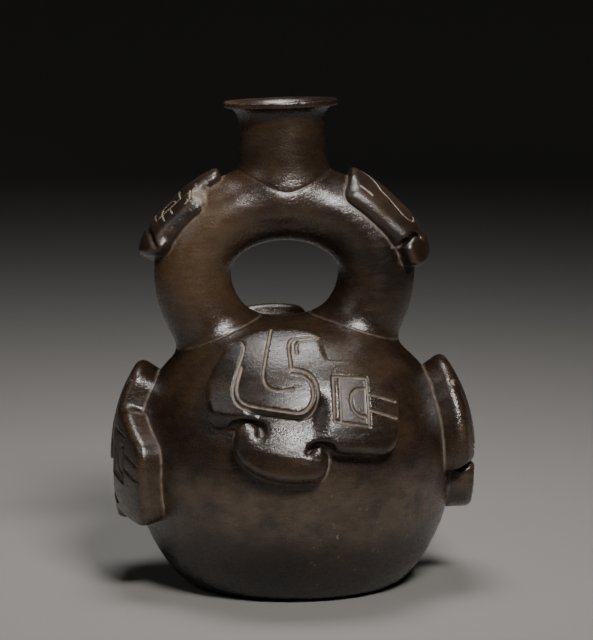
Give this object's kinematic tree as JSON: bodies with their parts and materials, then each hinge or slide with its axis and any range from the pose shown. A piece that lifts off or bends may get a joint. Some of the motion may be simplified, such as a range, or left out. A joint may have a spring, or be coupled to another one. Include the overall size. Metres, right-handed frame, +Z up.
{
  "type": "stirrup spout vessel",
  "caption": "Hollow globular pottery bottle with a ring-shaped stirrup, a flaring spout and thick carved relief slabs round its belly and on the stirrup's shoulders.",
  "frame": {"origin": "centre of the flat underside that the vessel stands on", "axes": "+Z up through the spout; +X to the right as seen from the front, along the stirrup; -Y is the front"},
  "size_m": [0.181, 0.1754, 0.2393],
  "materials": {
    "burnished_clay": "burnished, dark brown-black reduced clay with pale residue in the incised lines"
  },
  "bodies": {
    "root": {"vessel": "burnished_clay"}
  },
  "joints": []
}
